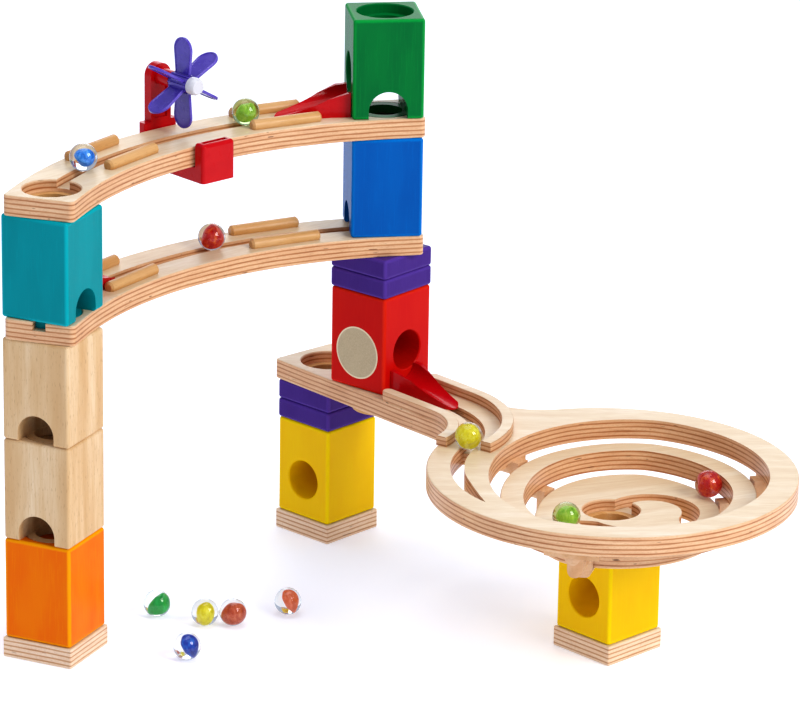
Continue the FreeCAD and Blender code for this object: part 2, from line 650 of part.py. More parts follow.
marble(rail_point(9.3, 0), upper_rail_top + ride, "marble_rail_blue")
marble(rail_point(39.9, 0), upper_rail_top + ride, "marble_rail_green")
marble(rail_point(34.5, 0), lower_rail_top + ride, "marble_rail_red")
marble(polar(HUB.x, HUB.y, slot_radius, 157.5), plate_top + ride, "marble_slot_yellow")
inner_wall = lip_radius - turn_gap - middle_width
marble(polar(HUB.x, HUB.y, inner_wall - marble_r - 0.05, 22), middle_z + marble_r + 0.05, "marble_turn_red")
marble(polar(HUB.x, HUB.y, 42, -129.5), middle_z + marble_r + 0.05, "marble_disc_green")
loose = (("marble_loose_1", 55.0, 53.9), ("marble_loose_2", 83.4, 41.2), ("marble_loose_3", 83.7 + marble_dia, 41.9),
         ("marble_loose_4", 131.1, 60.3), ("marble_loose_5", 75.6, -10.5))
for name, x, y in loose:
    marble(V(x, y, 0), marble_r, name)
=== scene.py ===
import math

import bmesh
import bpy
from mathutils import Euler, Matrix, Vector


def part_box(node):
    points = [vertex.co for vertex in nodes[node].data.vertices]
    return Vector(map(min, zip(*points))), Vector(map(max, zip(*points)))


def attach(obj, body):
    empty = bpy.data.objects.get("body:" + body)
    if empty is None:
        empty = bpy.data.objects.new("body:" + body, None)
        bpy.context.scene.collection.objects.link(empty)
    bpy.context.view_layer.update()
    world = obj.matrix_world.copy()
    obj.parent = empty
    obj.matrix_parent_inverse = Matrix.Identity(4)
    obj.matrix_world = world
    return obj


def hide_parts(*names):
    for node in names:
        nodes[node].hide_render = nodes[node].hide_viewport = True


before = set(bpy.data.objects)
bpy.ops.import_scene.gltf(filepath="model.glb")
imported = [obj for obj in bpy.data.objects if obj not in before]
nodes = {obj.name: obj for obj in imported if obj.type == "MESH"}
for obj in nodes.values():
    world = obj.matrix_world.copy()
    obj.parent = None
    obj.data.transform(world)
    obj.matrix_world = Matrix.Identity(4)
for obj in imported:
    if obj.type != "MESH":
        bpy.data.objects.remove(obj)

bpy.context.view_layer.update()
MM = 0.001

# how far each tower and the rails are turned about an upright axis, in degrees
YAW_LEFT = 65.166
YAW_LOW = 46.803
YAW_RED = 49.914
YAW_UPPER = 8.078
YAW_RIGHT = 44.236
RAIL_AZIMUTH = 42.65
PLY = 12.0                 # thickness of the plywood, in mm
PLIES = 9                  # layers in it
MARBLE_R = 8.0             # in mm, as all the sizes below are unless they say otherwise


# ------------------------------------------------------------------ colours and nodes
def colour(hex6, alpha=1.0):
    # sRGB hex to linear
    out = []
    for i in (0, 2, 4):
        c = int(hex6[i:i + 2], 16) / 255.0
        out.append(c / 12.92 if c <= 0.04045 else ((c + 0.055) / 1.055) ** 2.4)
    return (*out, alpha)


RAMP = "ShaderNodeValToRGB"
RANGE = "ShaderNodeMapRange"
MATH = "ShaderNodeMath"
MIX = "ShaderNodeMix"
VECTOR = "ShaderNodeVectorMath"
# RANGE reads 0 between 1 and 2, and gives 3 to 4. MIX goes by 0 from colour 6 to colour 7.
SMOOTH = {"interpolation_type": "SMOOTHSTEP"}
RGBA = {"data_type": "RGBA"}


def add(tree, kind, inputs, out=0, stops=(), **settings):
    # One node with its settings, plain values, colour stops and links. Gives back one of its outputs.
    # Stops are the two ends first, then any stop between them.
    n = tree.nodes.new(kind)
    for key, value in settings.items():
        setattr(n, key, value)
    for key, value in inputs.items():
        if isinstance(value, bpy.types.NodeSocket):
            tree.links.new(value, n.inputs[key])
        else:
            n.inputs[key].default_value = value
    for i, (at, hex6) in enumerate(stops):
        e = n.color_ramp.elements[i] if i < 2 else n.color_ramp.elements.new(at)
        e.position = at
        e.color = colour(hex6)
    return n.outputs[out] if n.outputs else n


def new_material(name, roughness, specular, ior=1.5, coat=0.0, coat_ior=1.5, coat_roughness=0.2):
    # A shader with the values that are the same all over. Gives back the material, its tree and the shader.
    m = bpy.data.materials.new(name)
    m.use_nodes = True
    t = m.node_tree
    t.nodes.clear()
    s = t.nodes.new("ShaderNodeBsdfPrincipled")
    add(t, "ShaderNodeOutputMaterial", {"Surface": s.outputs["BSDF"]})
    s.inputs["Roughness"].default_value = roughness
    s.inputs["Specular IOR Level"].default_value = specular
    s.inputs["IOR"].default_value = ior
    s.inputs["Coat Weight"].default_value = coat
    s.inputs["Coat IOR"].default_value = coat_ior
    s.inputs["Coat Roughness"].default_value = coat_roughness
    return m, t, s


def local_vector(t, at=(0, 0, 0), turn=(0, 0, 0)):
    # object coordinates seen from a point on the piece, turned with the piece
    c = add(t, "ShaderNodeTexCoord", {}, "Object")
    return add(t, "ShaderNodeMapping", {"Vector": c, "Location": at, "Rotation": turn}, vector_type="TEXTURE")


def streaks(t, vector, size_mm, detail=3.0, rough=0.55, shift=0.0):
    # cloudy pattern whose features have the given size in mm along each axis; shift moves it elsewhere
    per_metre = [1.0 / MM / size for size in size_mm]
    v = add(t, VECTOR, {0: vector, 1: per_metre}, operation="MULTIPLY")
    w = add(t, VECTOR, {0: v, 1: (shift, shift * 1.7, shift * 0.6)}, operation="ADD")
    look = {"Vector": w, "Scale": 1.0, "Detail": detail, "Roughness": rough}
    return add(t, "ShaderNodeTexNoise", look, "Fac")


def surface(t, s, base, height, depth_mm, strength, roughness=None):
    # joins a finished colour, a relief and a changing gloss to the shader
    t.links.new(base, s.inputs["Base Color"])
    if roughness is not None:
        t.links.new(roughness, s.inputs["Roughness"])
    relief = add(t, "ShaderNodeBump", {"Height": height, "Distance": depth_mm * MM, "Strength": strength})
    t.links.new(relief, s.inputs["Normal"])


# ------------------------------------------------------------------ wood, paint, plastic and glass
def birch_plywood(name, azimuth, pale, dark, shift=0.0):
    # Nine-ply birch under satin lacquer: a cream rotary-cut face with faint flame figure, and edges striped
    # by darker cross plies between pale long plies, with a few small gaps in them.
    m, t, s = new_material(name, roughness=0.42, specular=0.3, coat=0.1)
    v = local_vector(t, turn=(0, 0, math.radians(azimuth)))
    figure = streaks(t, v, (70, 9, 40), 4.0, 0.5, shift)
    fibre = streaks(t, v, (12, 0.9, 12), 3.0, 0.6, shift)    # fibre drawn at 0.9 mm, so that it shows
    face = add(t, RAMP, {0: figure}, stops=[(0.32, "D9BF9A"), (0.72, "E6D4B8"), (0.52, "DFC9A6")])
    mark = add(t, RANGE, {0: fibre, 1: 0.38, 2: 0.72, 3: 0.0, 4: 0.4}, **SMOOTH)
    face = add(t, MIX, {0: mark, 6: face, 7: colour("CEAD84")}, 2, **RGBA)

    z = add(t, "ShaderNodeSeparateXYZ", {0: v}, "Z")
    wobble = streaks(t, v, (30, 30, 14), 2.0, 0.5, shift + 3.0)
    sway = add(t, MATH, {0: wobble, 1: 0.7}, operation="MULTIPLY")
    height = add(t, MATH, {0: z, 1: PLIES / (PLY * MM), 2: sway}, operation="MULTIPLY_ADD")
    level = add(t, MATH, {0: height, 1: 0.85}, operation="SUBTRACT")
    ply = add(t, MATH, {0: level, 1: 1.0}, operation="PINGPONG")
    cross = add(t, RANGE, {0: ply, 1: 0.52, 2: 0.8, 3: 0.0, 4: 1.0}, **SMOOTH)
    drift = streaks(t, v, (24, 24, 2.2), 2.0, 0.6, shift + 7.0)
    # end grain drawn at 1.6 mm, so that it shows
    end_grain = streaks(t, v, (1.6, 1.6, 0.5), 2.0, 0.7, shift)
    pale_ply = add(t, RAMP, {0: drift}, stops=[(0.3, pale[0]), (0.7, pale[1])])
    dark_ply = add(t, RAMP, {0: drift}, stops=[(0.3, dark[0]), (0.7, dark[1])])
    edge = add(t, MIX, {0: cross, 6: pale_ply, 7: dark_ply}, 2, **RGBA)
    mark = add(t, RANGE, {0: end_grain, 1: 0.45, 2: 0.75, 3: 0.0, 4: 0.3}, **SMOOTH)
    edge = add(t, MIX, {0: mark, 6: edge, 7: colour("A86C3A")}, 2, **RGBA)
    gaps = streaks(t, v, (9, 9, 1.1), 1.0, 0.5, shift + 11.0)
    mark = add(t, RANGE, {0: gaps, 1: 0.745, 2: 0.77, 3: 0.0, 4: 0.8}, **SMOOTH)
    edge = add(t, MIX, {0: mark, 6: edge, 7: colour("6A3F20")}, 2, **RGBA)

    normal = add(t, "ShaderNodeNewGeometry", {}, "Normal")
    up = add(t, "ShaderNodeSeparateXYZ", {0: normal}, "Z")
    up = add(t, MATH, {0: up}, operation="ABSOLUTE")
    flat = add(t, RANGE, {0: up, 1: 0.62, 2: 0.86, 3: 0.0, 4: 1.0}, **SMOOTH)
    wood = add(t, MIX, {0: flat, 6: edge, 7: face}, 2, **RGBA)
    gloss = add(t, RANGE, {0: fibre, 1: 0.2, 2: 0.8, 3: 0.34, 4: 0.48}, **SMOOTH)
    relief = add(t, MATH, {0: cross, 1: -0.8, 2: fibre}, operation="MULTIPLY_ADD")
    surface(t, s, wood, relief, depth_mm=0.05, strength=0.5, roughness=gloss)
    return m


def rubberwood(name, at, turn, tones, pore=0.3, shift=0.0):
    # Solid rubberwood under clear satin lacquer: straw-coloured, with long pores that read as short dark
    # dashes along the grain, which is the local Z.
    m, t, s = new_material(name, roughness=0.42, specular=0.3, coat=0.12)
    v = local_vector(t, at, turn)
    board = streaks(t, v, (9, 16, 120), 3.0, 0.5, shift)
    fibre = streaks(t, v, (0.9, 0.9, 14), 3.0, 0.6, shift + 2.0)
    # pores drawn 0.6 mm wide, so that they show
    pores = streaks(t, v, (0.6, 0.6, 4.5), 1.0, 0.5, shift + 5.0)
    base = add(t, RAMP, {0: board}, stops=[(0.3, tones[0]), (0.72, tones[2]), (0.5, tones[1])])
    mark = add(t, RANGE, {0: fibre, 1: 0.4, 2: 0.75, 3: 0.0, 4: 0.45}, **SMOOTH)
    base = add(t, MIX, {0: mark, 6: base, 7: colour(tones[0])}, 2, **RGBA)
    pit = add(t, RANGE, {0: pores, 1: 0.64, 2: 0.72, 3: 0.0, 4: pore}, **SMOOTH)
    base = add(t, MIX, {0: pit, 6: base, 7: colour("8E5B2C")}, 2, **RGBA)
    gloss = add(t, RANGE, {0: fibre, 1: 0.2, 2: 0.8, 3: 0.36, 4: 0.5}, **SMOOTH)
    relief = add(t, MATH, {0: fibre, 1: pit}, operation="SUBTRACT")
    surface(t, s, base, relief, depth_mm=0.08, strength=0.45, roughness=gloss)
    return m


def painted_wood(name, body, thin, at, turn, half, shift=0.0):
    # Beech-like wood under sprayed satin enamel: an even, deep colour whose grain telegraphs through as fine
    # upright lines, a paler band along the arrises that is partly a thinner film and partly a painted
    # highlight, and a sheen that shows at a low angle.
    m, t, s = new_material(name, roughness=0.45, specular=0.0, coat=0.6, coat_ior=1.22, coat_roughness=0.26)
    v = local_vector(t, at, turn)
    inside = []
    for axis, size in zip("XYZ", half):
        side = add(t, MATH, {0: add(t, "ShaderNodeSeparateXYZ", {0: v}, axis)}, operation="ABSOLUTE")
        inside.append(add(t, MATH, {0: size * MM, 1: side}, operation="SUBTRACT"))
    low = add(t, MATH, {0: inside[0], 1: inside[1]}, operation="MINIMUM")
    high = add(t, MATH, {0: inside[0], 1: inside[1]}, operation="MAXIMUM")
    high = add(t, MATH, {0: high, 1: inside[2]}, operation="MINIMUM")
    arris = add(t, MATH, {0: low, 1: high}, operation="MAXIMUM")
    fibre = streaks(t, v, (0.8, 0.8, 16), 3.0, 0.6, shift)    # grain drawn at 0.8 mm, so that it shows
    cloud = streaks(t, v, (16, 16, 40), 2.0, 0.5, shift + 4.0)
    thin_and_lit_edge = add(t, MATH, {0: fibre, 1: 1.2 * MM, 2: arris}, operation="MULTIPLY_ADD")
    mark = add(t, RANGE, {0: cloud, 1: 0.3, 2: 0.7, 3: 0.0, 4: 0.16}, **SMOOTH)
    base = add(t, MIX, {0: mark, 6: colour(body), 7: colour(thin)}, 2, **RGBA)
    mark = add(t, RANGE, {0: fibre, 1: 0.5, 2: 0.8, 3: 0.0, 4: 0.25}, **SMOOTH)
    base = add(t, MIX, {0: mark, 6: base, 7: colour(thin)}, 2, **RGBA)
    # paler along the arrises: partly a thinner film, partly a painted highlight on the edges
    mark = add(t, RANGE, {0: thin_and_lit_edge, 1: 1.3 * MM, 2: 3.0 * MM, 3: 0.8, 4: 0.0}, **SMOOTH)
    base = add(t, MIX, {0: mark, 6: base, 7: colour(thin)}, 2, **RGBA)
    gloss = add(t, RANGE, {0: cloud, 1: 0.25, 2: 0.75, 3: 0.38, 4: 0.5}, **SMOOTH)
    peel = streaks(t, v, (1.4, 1.4, 1.4), 2.0, 0.5, shift)    # orange peel drawn at 1.4 mm, so that it shows
    relief = add(t, MATH, {0: peel, 1: 0.5, 2: fibre}, operation="MULTIPLY_ADD")
    surface(t, s, base, relief, depth_mm=0.08, strength=0.4, roughness=gloss)
    return m


def moulded_plastic(name, body, thin, roughness, specular=0.2):
    # Injection-moulded ABS with a polished tool finish: even colour, faint flow marks, a slight ripple.
    m, t, s = new_material(name, roughness, specular, ior=1.53, coat=0.7, coat_ior=1.25, coat_roughness=0.12)
    v = local_vector(t)
    flow = streaks(t, v, (9, 9, 5), 2.0, 0.5)
    haze = streaks(t, v, (5, 5, 5), 2.0, 0.6, 2.0)
    mark = add(t, RANGE, {0: flow, 1: 0.3, 2: 0.75, 3: 0.0, 4: 0.35}, **SMOOTH)
    base = add(t, MIX, {0: mark, 6: colour(body), 7: colour(thin)}, 2, **RGBA)
    gloss = add(t, RANGE, {0: haze, 1: 0.25, 2: 0.75, 3: roughness - 0.04, 4: roughness + 0.06}, **SMOOTH)
    surface(t, s, base, flow, depth_mm=0.12, strength=0.25, roughness=gloss)
    return m


def faced_board(name, at, turn, radius):
    # A disc of pressed, matt fibreboard: speckled beige with a paler turned rim.
    m, t, s = new_material(name, roughness=0.7, specular=0.3)
    v = local_vector(t, at, turn)
    grit = streaks(t, v, (0.9, 0.9, 0.9), 3.0, 0.7)    # chips drawn at 0.9 mm, so that they show
    cloud = streaks(t, v, (7, 7, 7), 2.0, 0.5)
    base = add(t, RAMP, {0: grit}, stops=[(0.3, "B4A484"), (0.75, "CBBC9C"), (0.55, "C0B08F")])
    mark = add(t, RANGE, {0: cloud, 1: 0.3, 2: 0.7, 3: 0.0, 4: 0.25}, **SMOOTH)
    base = add(t, MIX, {0: mark, 6: base, 7: colour("CBBB98")}, 2, **RGBA)
    across = add(t, VECTOR, {0: v, 1: (0, 1, 1)}, operation="MULTIPLY")
    r = add(t, VECTOR, {0: across}, "Value", operation="LENGTH")
    mark = add(t, RANGE, {0: r, 1: (radius - 1.1) * MM, 2: (radius - 0.7) * MM, 3: 0.0, 4: 1.0}, **SMOOTH)
    base = add(t, MIX, {0: mark, 6: base, 7: colour("EADCBA")}, 2, **RGBA)
    surface(t, s, base, grit, depth_mm=0.12, strength=0.5)
    return m


def drawn_steel(name, at, turn):
    # Bright drawn steel wire: fine lines along its length.
    m, t, s = new_material(name, roughness=0.3, specular=0.5)
    v = local_vector(t, at, turn)
    lines = streaks(t, v, (0.5, 0.5, 8), 2.0, 0.6)    # draw lines 0.5 mm apart, so that they show
    base = add(t, RAMP, {0: lines}, stops=[(0.3, "A9ABAE"), (0.7, "CFD1D4")])
    s.inputs["Metallic"].default_value = 1.0
    gloss = add(t, RANGE, {0: lines, 1: 0.3, 2: 0.7, 3: 0.22, 4: 0.36}, **SMOOTH)
    surface(t, s, base, lines, depth_mm=0.03, strength=0.4, roughness=gloss)
    return m


def soda_glass(name, hex6):
    # Pressed soda-lime glass, fire-polished: clear, with a barely uneven skin.
    m, t, s = new_material(name, roughness=0.015, specular=0.5)
    v = local_vector(t)
    skin = streaks(t, v, (4, 4, 4), 2.0, 0.5)
    tone = add(t, RANGE, {0: skin, 1: 0.3, 2: 0.7, 3: 0.0, 4: 0.4}, **SMOOTH)
    base = add(t, MIX, {0: tone, 6: colour(hex6), 7: colour("FFFFFF")}, 2, **RGBA)
    s.inputs["Transmission Weight"].default_value = 1.0
    surface(t, s, base, skin, depth_mm=0.05, strength=0.25)
    return m


def vane_glass(name, dark, body, pale):
    # Opaque coloured glass drawn through the clear: streaked along the pull, and given a faint painted glow
    # in its own colour, so that it stays bright in shade.
    m, t, s = new_material(name, roughness=0.35, specular=0.3)
    v = local_vector(t)
    pull = streaks(t, v, (2.2, 2.2, 5), 3.0, 0.6)
    wisp = streaks(t, v, (0.9, 2.4, 1.2), 3.0, 0.6, 6.0)
    base = add(t, RAMP, {0: pull}, stops=[(0.28, dark), (0.74, pale), (0.5, body)])
    mark = add(t, RANGE, {0: wisp, 1: 0.55, 2: 0.7, 3: 0.0, 4: 0.35}, **SMOOTH)
    base = add(t, MIX, {0: mark, 6: base, 7: colour(pale)}, 2, **RGBA)
    # painted glow: the vane glows in its own colour so that it stays bright in shade
    s.inputs["Emission Color"].default_value = colour(body)
    s.inputs["Emission Strength"].default_value = 0.2
    surface(t, s, base, pull, depth_mm=0.3, strength=0.4)
    return m


# ------------------------------------------------------------------ finishes on the pieces
def dress(name, material):
    # the same material all over a piece
    for slot in nodes[name].material_slots:
        slot.material = material


def centre(name):
    # the middle of a piece's box
    a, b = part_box(name)
    return (a + b) / 2


# the pale and the dark plies of an edge, each as a pair of tones
edge_warm = (("D8A57A", "E8C096"), ("A5683C", "C88F60"))
edge_pale = (("E8C6A4", "F2D8BA"), ("BA8658", "D2A47A"))
rail_ply = birch_plywood("lacquered_birch_ply_rails", RAIL_AZIMUTH, *edge_warm, shift=1.0)
spiral_ply = birch_plywood("lacquered_birch_ply_spiral", 0.0, *edge_warm, shift=5.0)
turn_ply = birch_plywood("lacquered_birch_ply_turns", 20.0, *edge_warm, shift=9.0)
base_ply = birch_plywood("lacquered_birch_ply_bases", 25.0, *edge_pale, shift=13.0)
for n in ("lower_rail", "upper_rail"):
    dress(n, rail_ply)
for n in ("spiral_plate", "fence_front", "fence_back"):
    dress(n, spiral_ply)
for n in ("spiral_middle", "centre_disc"):
    dress(n, turn_ply)
for n in ("base_plate_left", "base_plate_middle", "base_plate_right"):
    dress(n, base_ply)

half_block = (21.0, 21.0, 30.0)
half_spacer = (21.4, 21.4, 6.0)
yellow = ("EEBC00", "F8DA00")
violet = ("46297E", "5A3E98")
# a painted piece's turn, its half sizes, and its colour where the coat is full and where it is thin; the thin
# colour also paints a highlight along the arrises
painted = [
    ("orange_block", YAW_LEFT, half_block, ("EA6C00", "F8A600")),
    ("teal_block", YAW_LEFT, half_block, ("008A90", "00A8B0")),
    ("yellow_block_middle", YAW_LOW, half_block, yellow),
    ("yellow_block_right", YAW_RIGHT, half_block, yellow),
    ("red_block", YAW_RED, half_block, ("C60E0A", "DA2A10")),
    ("blue_block", YAW_UPPER, half_block, ("0058A8", "0078CC")),
    ("green_block", YAW_UPPER, half_block, ("006C34", "0C9C40")),
    ("spacer_low_1", YAW_LOW, half_spacer, violet),
    ("spacer_low_2", YAW_LOW, half_spacer, violet),
    ("spacer_high_1", YAW_RED, half_spacer, violet),
    ("spacer_high_2", YAW_RED, half_spacer, violet)]
for n, yaw, half, tones in painted:
    a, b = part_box(n)
    at = Vector(((a.x + b.x) / 2, (a.y + b.y) / 2, b.z - half[2] * MM))
    shift = at.z * 100 if half is half_spacer else len(n)    # so that no two pieces have the same grain
    dress(n, painted_wood("satin_enamel_" + n, *tones, at, (0, 0, math.radians(yaw)), half, shift))

# three tones of the same wood, from dark to pale
straw = ("CCA26E", "DAB788", "E8CDA6")
honey = ("C08A50", "D0A064", "DCB280")
rosy = ("CF9C6C", "DDB083", "E6C09A")
lying = math.pi / 2        # lays the grain level
for n in nodes.keys():
    if n.startswith("natural_block"):
        shift = 9.0 if n.endswith("upper") else 0.0
        wood = (0, 0, math.radians(YAW_LEFT)), straw, 0.4, shift
    elif "collar" in n:
        wood = (lying, 0, 0.5), honey, 0.2, len(n)
    elif n.startswith("bracket"):
        wood = (lying, 0, int(n[-1]) * 2.1), rosy, 0.15, 0.0
    elif n.startswith("guide"):
        a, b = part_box(n)
        wood = (0, lying, math.atan2(b.y - a.y, b.x - a.x)), honey, 0.25, len(n) * 3.0
    else:
        continue
    dress(n, rubberwood("clear_rubberwood_" + n, centre(n), *wood))

DISC_R = 16.0
board = faced_board("fibreboard_disc", centre("sound_disc"), (0, 0, math.radians(YAW_RED)), DISC_R)
dress("sound_disc", board)
red_abs = moulded_plastic("polished_red_abs", "BE0410", "CC1418", roughness=0.3, specular=0.05)
for n in ("ramp_upper", "ramp_lower", "ramp_spiral", "wheel_clamp"):
    dress(n, red_abs)
dress("wheel_cap", moulded_plastic("polished_white_abs", "D2D0D4", "DEDDE0", roughness=0.32, specular=0.4))
axle_heading = math.radians(RAIL_AZIMUTH + 90)
dress("wheel_axle", drawn_steel("drawn_steel_pin", centre("wheel_axle"), (0, lying, axle_heading)))


# ------------------------------------------------------------------ new pieces
def finish_piece(bm, name, material, body, place):
    # Puts a shape made in mm in its place, merges doubled points, turns the faces outwards, and lets the
    # piece ride on its body.
    bmesh.ops.transform(bm, matrix=place, verts=bm.verts)
    bmesh.ops.remove_doubles(bm, verts=bm.verts, dist=0.01 * MM)
    bmesh.ops.recalc_face_normals(bm, faces=bm.faces)
    mesh = bpy.data.meshes.new(name)
    bm.to_mesh(mesh)
    bm.free()
    for p in mesh.polygons:
        p.use_smooth = True
    mesh.materials.append(material)
    o = bpy.data.objects.new(name, mesh)
    bpy.context.scene.collection.objects.link(o)
    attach(o, body)
    return o


# The paddle wheel is made in mm, with its axle along Z: six tongue-shaped blades with a raised rim, on a
# ribbed hub.
BLADES = 6
BLADE_HALF = 7.5           # half the width of a blade, and of the wheel along its axle
BLADE_SIDES = 40           # points around a blade's outline
BLADE_ROOT = 4.0           # where a blade starts and ends, from the axle
BLADE_TIP = 27.0
BLADE_THICK = 1.8
ROOT_FLAT = 0.02           # how much of the round is left at the root
ROOT_ROOM = 0.2            # room for it past the root
NECK = 0.8                 # a blade's width at the root, as a share of its full width
FLARE = 0.2                # the share that it gains along the neck
NECK_LENGTH = 12.0
RIM_WIDTH = 1.0
RIM_SLOPE = 0.35
RIM_DEPTH = 0.4
RIM_ROUND = 0.35
HUB_R = 5.0
HUB_SIDES = 48
RIB_EVERY = 4              # every fourth side of the hub is a rib
RIB_INSET = 0.02
RIB_HEIGHT = 0.7
HUB_WALL = 2.4
HUB_SLOPE = 0.3
HUB_DISH = 1.2


def flat_faces(bm):
    # the many-sided faces at the two ends, without the small ones around them
    return [f for f in bm.faces if abs(f.normal.z) > 0.9 and len(f.verts) > 20]


def blade():
    # a circle whose one half is flattened for the root and whose other half moves out to the tip
    bm = bmesh.new()
    bmesh.ops.create_circle(bm, cap_ends=True, segments=BLADE_SIDES, radius=BLADE_HALF)
    near = [v for v in bm.verts if v.co.x < -0.01]
    far = [v for v in bm.verts if v.co.x > -0.01]
    bmesh.ops.scale(bm, vec=(ROOT_FLAT, 1, 1), verts=near)
    bmesh.ops.translate(bm, vec=(BLADE_TIP - BLADE_HALF, 0, 0), verts=far)
    bmesh.ops.translate(bm, vec=(BLADE_ROOT + ROOT_ROOM, 0, 0), verts=near)
    for v in bm.verts:
        along = min(1.0, max(0.0, (v.co.x - BLADE_ROOT) / NECK_LENGTH))
        v.co.y *= NECK + FLARE * along
    bmesh.ops.translate(bm, vec=(0, 0, -BLADE_THICK / 2), verts=bm.verts)
    up = bmesh.ops.extrude_face_region(bm, geom=bm.faces[:])
    top = [g for g in up["geom"] if isinstance(g, bmesh.types.BMVert)]
    bmesh.ops.translate(bm, vec=(0, 0, BLADE_THICK), verts=top)
    bmesh.ops.recalc_face_normals(bm, faces=bm.faces)
    bmesh.ops.inset_individual(bm, faces=flat_faces(bm), thickness=RIM_WIDTH, depth=0.0)
    bmesh.ops.inset_individual(bm, faces=flat_faces(bm), thickness=RIM_SLOPE, depth=-RIM_DEPTH)
    # the sharp edges of the two broad sides
    rim = [e for e in bm.edges if abs(abs(e.verts[0].co.z) - BLADE_THICK / 2) < 0.01
           and len(e.link_faces) == 2 and e.calc_face_angle(0) > 1.2]
    bmesh.ops.bevel(bm, geom=rim, offset=RIM_ROUND, segments=3, profile=0.5, affect="EDGES", material=-1)
    bmesh.ops.rotate(bm, cent=(0, 0, 0), matrix=Matrix.Rotation(math.pi / 2, 3, "X"), verts=bm.verts)
    return bm


def ribbed_hub():
    # a short cylinder with raised ribs and dished ends
    bm = bmesh.new()
    bmesh.ops.create_cone(bm, cap_ends=True, segments=HUB_SIDES, radius1=HUB_R, radius2=HUB_R,
                          depth=2 * BLADE_HALF)
    sides = [f for f in bm.faces if abs(f.normal.z) < 0.1]
    sides.sort(key=lambda f: math.atan2(f.calc_center_median().y, f.calc_center_median().x))
    bmesh.ops.inset_individual(bm, faces=sides[::RIB_EVERY], thickness=RIB_INSET, depth=RIB_HEIGHT)
    bmesh.ops.inset_individual(bm, faces=flat_faces(bm), thickness=HUB_WALL, depth=0.0)
    bmesh.ops.inset_individual(bm, faces=flat_faces(bm), thickness=HUB_SLOPE, depth=-HUB_DISH)
    mesh = bpy.data.meshes.new("hub")
    bm.to_mesh(mesh)
    bm.free()
    return mesh


def paddle_wheel():
    # the blades are turned around the axle and the hub joins them
    bm = blade()
    bmesh.ops.spin(bm, geom=bm.verts[:] + bm.edges[:] + bm.faces[:], cent=(0, 0, 0), axis=(0, 0, 1),
                   angle=math.tau * (BLADES - 1) / BLADES, steps=BLADES - 1, use_duplicate=True)
    hub = ribbed_hub()
    bm.from_mesh(hub)
    bpy.data.meshes.remove(hub)
    along = Vector((math.cos(axle_heading), math.sin(axle_heading), 0))
    upright = Vector((0, 0, 1))
    turn = Matrix((upright, along.cross(upright), along)).transposed().to_4x4()
    place = Matrix.Translation(centre("paddle_wheel")) @ turn @ Matrix.Scale(MM, 4)
    violet_abs = moulded_plastic("translucent_violet_abs", "523EAA", "7664C8", roughness=0.24,
                                 specular=0.3)
    wheel = finish_piece(bm, "paddle_wheel_moulding", violet_abs, "paddle_wheel_body",
                         place)
    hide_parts("paddle_wheel")
    sharp = wheel.modifiers.new("sharp_edges", "EDGE_SPLIT")
    sharp.split_angle = math.radians(40)


paddle_wheel()


GLASS_SKIN = 0.5           # clear glass over a vane
POLE = 0.96                # where the mark at a marble's pole starts, as a share of its radius
POLE_MARK = 0.004          # how deep it is, as a share of the radius
SWELL = 0.35               # how far a vane's thickness swells and thins along it, and in what wave
SWELL_RATE = 3.1
SWELL_START = 1.3


def glass_marble(node, clear, vane, size, twist, bend, lean, second=None):
    # A clear ball with one or two twisted vanes of colour inside.
    body = node + "_body"
    ball = bmesh.new()
    bmesh.ops.create_icosphere(ball, subdivisions=5, radius=MARBLE_R)
    for v in ball.verts:
        # fire polishing leaves a shallow mark at each pole
        v.co *= 1.0 - POLE_MARK * max(0.0, abs(v.co.normalized().z) - POLE) / (1.0 - POLE)
    place = Matrix.Translation(centre(node)) @ Euler(lean).to_matrix().to_4x4() @ Matrix.Scale(MM, 4)
    o = finish_piece(ball, node + "_ball", clear_glass[clear], body, place)
    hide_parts(node)
    leaves = [(vane, size), second] if second else [(vane, size)]
    for i, (kind, dims) in enumerate(leaves):
        leaf = bmesh.new()
        bmesh.ops.create_icosphere(leaf, subdivisions=4, radius=1.0)
        bmesh.ops.scale(leaf, vec=dims, verts=leaf.verts)
        for v in leaf.verts:
            # along runs from -1 to 1 up the vane, which bows to its own side, swells and twists
            along = v.co.z / dims[2]
            x = v.co.x + bend * (1 - along * along) * (1 - 2 * i)
            y = v.co.y * (1.0 + SWELL * math.sin(SWELL_RATE * along + SWELL_START))
            angle = twist * along + i * math.pi
            v.co.x = x * math.cos(angle) - y * math.sin(angle)
            v.co.y = x * math.sin(angle) + y * math.cos(angle)
            if v.co.length > MARBLE_R - GLASS_SKIN:
                v.co *= (MARBLE_R - GLASS_SKIN) / v.co.length
        finish_piece(leaf, node + "_vane_%d" % (i + 1), vanes[kind], body, place)


clear_glass = {"clear": soda_glass("clear_soda_glass", "F6FAF8"),
               "green": soda_glass("green_soda_glass", "C3E59A")}
vanes = {"blue": vane_glass("blue_vane_glass", "0B4FB0", "1E7CE0", "7CC0F6"),
         "blue_deep": vane_glass("blue_deep_vane_glass", "0A1E78", "1238A4", "2C78D4"),
         "green": vane_glass("green_vane_glass", "00802C", "0AA03C", "3CC465"),
         "green_pale": vane_glass("green_pale_vane_glass", "86B832", "A8CE50", "DCE87A"),
         "red": vane_glass("red_vane_glass", "A40C0C", "C4140C", "E8741C"),
         "red_orange": vane_glass("red_orange_vane_glass", "CC5428", "E0683A", "F6A27C"),
         "red_brown": vane_glass("red_brown_vane_glass", "A83A16", "C24E26", "DC8458"),
         "yellow": vane_glass("yellow_vane_glass", "C4B400", "E2D400", "F2EE5A"),
         "pearl": vane_glass("pearl_vane_glass", "CFC7B4", "E4E0D4", "F6F4EE")}
